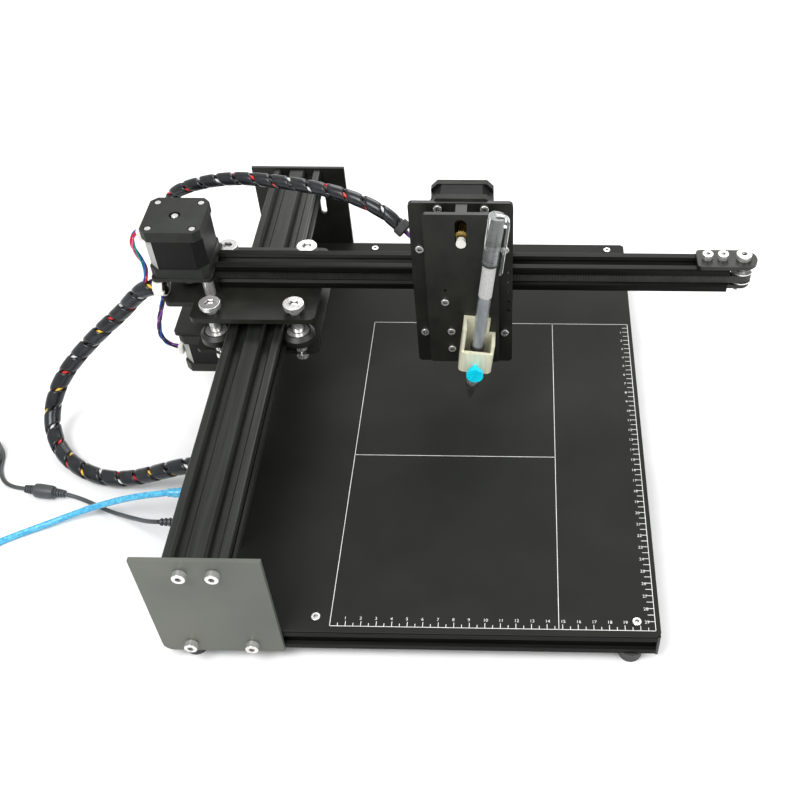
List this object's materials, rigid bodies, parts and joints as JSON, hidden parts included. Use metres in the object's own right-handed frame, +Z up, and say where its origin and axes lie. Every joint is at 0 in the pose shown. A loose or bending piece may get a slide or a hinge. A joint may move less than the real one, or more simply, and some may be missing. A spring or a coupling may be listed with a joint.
{
  "type": "desktop pen plotter",
  "caption": "Desktop writing machine: a belt-driven cross arm on a V-slot beam over a sheet bed, carrying a motorised lift with a tilted clamp for a pen.",
  "frame": {"origin": "floor point under the middle of the machine without its cables", "axes": "+X along the cross arm towards its free end, +Y away from the operator along the beam, +Z up"},
  "size_m": [0.626, 0.426, 0.2127],
  "materials": {
    "black_anodised": "satin",
    "black_plate": "satin",
    "black_plastic": "matte",
    "motor_black": "satin",
    "motor_steel": "brushed",
    "bright_steel": "bright",
    "brass": "polished",
    "champagne_aluminium": "satin",
    "blue_aluminium": "satin",
    "rubber": "matte",
    "wheel_plastic": "satin",
    "belt_rubber": "matte",
    "circuit_board": "gloss",
    "clear_plastic": "gloss",
    "white_nylon": "satin",
    "loom_wrap": "satin",
    "blue_cable": "gloss",
    "black_cable": "satin"
  },
  "bodies": {
    "base": {"bed_board": "black_plate", "cross_beams": "black_anodised", "beam_end_caps": "black_plastic", "y_beam": "black_anodised", "front_end_plate": "black_plate", "rear_end_plate": "black_plate", "frame_screws": "bright_steel", "rubber_feet": "rubber", "control_box": "black_plastic", "controller_board": "circuit_board", "y_belt": "belt_rubber", "usb_connector": "blue_cable", "dc_connector": "black_cable", "usb_cable": "blue_cable", "dc_cable": "black_cable", "inline_connector": "black_cable", "base_loom": "loom_wrap", "usb_coil": "blue_cable", "dc_coil": "black_cable", "usb_plug": "blue_cable", "dc_plug": "black_cable"},
    "y_carriage": {"y_carriage_plate": "black_plate", "y_motor_plate": "black_plate", "y_axles": "bright_steel", "y_motor": "motor_steel", "y_belt_loop": "belt_rubber", "x_motor_plate": "black_plate", "x_motor": "motor_black", "x_arm": "black_anodised", "idler_bracket": "black_plate", "carriage_fasteners": "bright_steel", "x_belt": "belt_rubber", "pen_loom": "loom_wrap"},
    "x_carriage": {"x_carriage_plate": "black_plate", "x_rear_plate": "black_plate", "x_standoffs": "bright_steel", "x_axles": "bright_steel", "z_motor": "motor_black", "z_rail": "bright_steel"},
    "pen_lift": {"lift_plate": "black_plate", "rail_block": "bright_steel", "z_rack": "black_plastic", "lift_plate_screws": "bright_steel", "stop_bush": "white_nylon", "pen_holder": "champagne_aluminium"},
    "pen": {"pen_barrel": "clear_plastic", "pen_cap": "clear_plastic"},
    "thumb_screw": {"thumb_screw": "blue_aluminium"},
    "y_motor_pulley": {"y_motor_pulley": "bright_steel"},
    "x_motor_pulley": {"x_motor_pulley": "bright_steel"},
    "x_idler_pulley": {"x_idler_pulley": "bright_steel"},
    "z_pinion": {"z_pinion": "brass"},
    "y_wheel_front_left": {"y_wheel_front_left": "wheel_plastic"},
    "y_wheel_front_right": {"y_wheel_front_right": "wheel_plastic"},
    "y_wheel_rear_left": {"y_wheel_rear_left": "wheel_plastic"},
    "y_wheel_rear_right": {"y_wheel_rear_right": "wheel_plastic"},
    "x_wheel_lower_left": {"x_wheel_lower_left": "wheel_plastic"},
    "x_wheel_lower_right": {"x_wheel_lower_right": "wheel_plastic"},
    "x_wheel_upper_left": {"x_wheel_upper_left": "wheel_plastic"},
    "x_wheel_upper_right": {"x_wheel_upper_right": "wheel_plastic"}
  },
  "joints": [
    {"name": "y_slide", "type": "slide", "parent": "base", "child": "y_carriage", "axis": [0, 1, 0], "range_m": [-0.19, 0.103], "deforming": ["base_loom"]},
    {"name": "x_slide", "type": "slide", "parent": "y_carriage", "child": "x_carriage", "axis": [1, 0, 0], "range_m": [-0.068, 0.126], "deforming": ["pen_loom"]},
    {"name": "pen_lift", "type": "slide", "parent": "x_carriage", "child": "pen_lift", "axis": [0, 0, 1], "range_m": [-0.009, 0.001]},
    {"name": "pen_height", "type": "slide", "parent": "pen_lift", "child": "pen", "axis": [0.1288, 0, 0.9917], "range_m": [-0.004, 0.02]},
    {"name": "thumb_screw_turn", "type": "hinge", "parent": "pen_lift", "child": "thumb_screw", "pos_m": [0.01533, -0.0215, 0.08766], "axis": [0, -1, 0], "range_deg": [-360, 360]},
    {"name": "y_wheel_front_left_spin", "type": "hinge", "parent": "y_carriage", "child": "y_wheel_front_left", "pos_m": [-0.17395, 0.005, 0.097], "axis": [0, 0, 1], "range_deg": [-1019, 1019]},
    {"name": "y_wheel_front_right_spin", "type": "hinge", "parent": "y_carriage", "child": "y_wheel_front_right", "pos_m": [-0.11395, 0.005, 0.097], "axis": [0, 0, 1], "range_deg": [-1019, 1019]},
    {"name": "y_wheel_rear_left_spin", "type": "hinge", "parent": "y_carriage", "child": "y_wheel_rear_left", "pos_m": [-0.17395, 0.072, 0.097], "axis": [0, 0, 1], "range_deg": [-1019, 1019]},
    {"name": "y_wheel_rear_right_spin", "type": "hinge", "parent": "y_carriage", "child": "y_wheel_rear_right", "pos_m": [-0.11395, 0.072, 0.097], "axis": [0, 0, 1], "range_deg": [-1019, 1019]},
    {"name": "x_wheel_lower_left_spin", "type": "hinge", "parent": "x_carriage", "child": "x_wheel_lower_left", "pos_m": [-0.00845, 0.0415, 0.109], "axis": [0, 1, 0], "range_deg": [-676, 676]},
    {"name": "x_wheel_lower_right_spin", "type": "hinge", "parent": "x_carriage", "child": "x_wheel_lower_right", "pos_m": [0.02355, 0.0415, 0.109], "axis": [0, 1, 0], "range_deg": [-676, 676]},
    {"name": "x_wheel_upper_left_spin", "type": "hinge", "parent": "x_carriage", "child": "x_wheel_upper_left", "pos_m": [-0.00845, 0.0415, 0.149], "axis": [0, 1, 0], "range_deg": [-676, 676]},
    {"name": "x_wheel_upper_right_spin", "type": "hinge", "parent": "x_carriage", "child": "x_wheel_upper_right", "pos_m": [0.02355, 0.0415, 0.149], "axis": [0, 1, 0], "range_deg": [-676, 676]},
    {"name": "y_motor_pulley_spin", "type": "hinge", "parent": "y_carriage", "child": "y_motor_pulley", "pos_m": [-0.19045, 0.0415, 0.097], "axis": [0, 0, 1], "range_deg": [-1744, 1744]},
    {"name": "x_motor_pulley_spin", "type": "hinge", "parent": "y_carriage", "child": "x_motor_pulley", "pos_m": [-0.19605, 0.0415, 0.129], "axis": [0, 0, 1], "range_deg": [-1157, 1157]},
    {"name": "x_idler_pulley_spin", "type": "hinge", "parent": "y_carriage", "child": "x_idler_pulley", "pos_m": [0.20685, 0.0415, 0.129], "axis": [0, 0, 1], "range_deg": [-1157, 1157]},
    {"name": "z_pinion_spin", "type": "hinge", "parent": "x_carriage", "child": "z_pinion", "pos_m": [0.00705, 0.0095, 0.18635], "axis": [0, 1, 0], "range_deg": [-131, 131]}
  ],
  "couplings": [
    {"joint": "y_wheel_front_left_spin", "follows": "y_slide", "rad_per_m": -91.743},
    {"joint": "y_wheel_front_right_spin", "follows": "y_slide", "rad_per_m": 91.743},
    {"joint": "y_wheel_rear_left_spin", "follows": "y_slide", "rad_per_m": -91.743},
    {"joint": "y_wheel_rear_right_spin", "follows": "y_slide", "rad_per_m": 91.743},
    {"joint": "x_wheel_lower_left_spin", "follows": "x_slide", "rad_per_m": -91.743},
    {"joint": "x_wheel_lower_right_spin", "follows": "x_slide", "rad_per_m": -91.743},
    {"joint": "x_wheel_upper_left_spin", "follows": "x_slide", "rad_per_m": 91.743},
    {"joint": "x_wheel_upper_right_spin", "follows": "x_slide", "rad_per_m": 91.743},
    {"joint": "y_motor_pulley_spin", "follows": "y_slide", "rad_per_m": 157.08},
    {"joint": "x_motor_pulley_spin", "follows": "x_slide", "rad_per_m": 157.08},
    {"joint": "x_idler_pulley_spin", "follows": "x_slide", "rad_per_m": 157.08},
    {"joint": "z_pinion_spin", "follows": "pen_lift", "rad_per_m": 250}
  ]
}
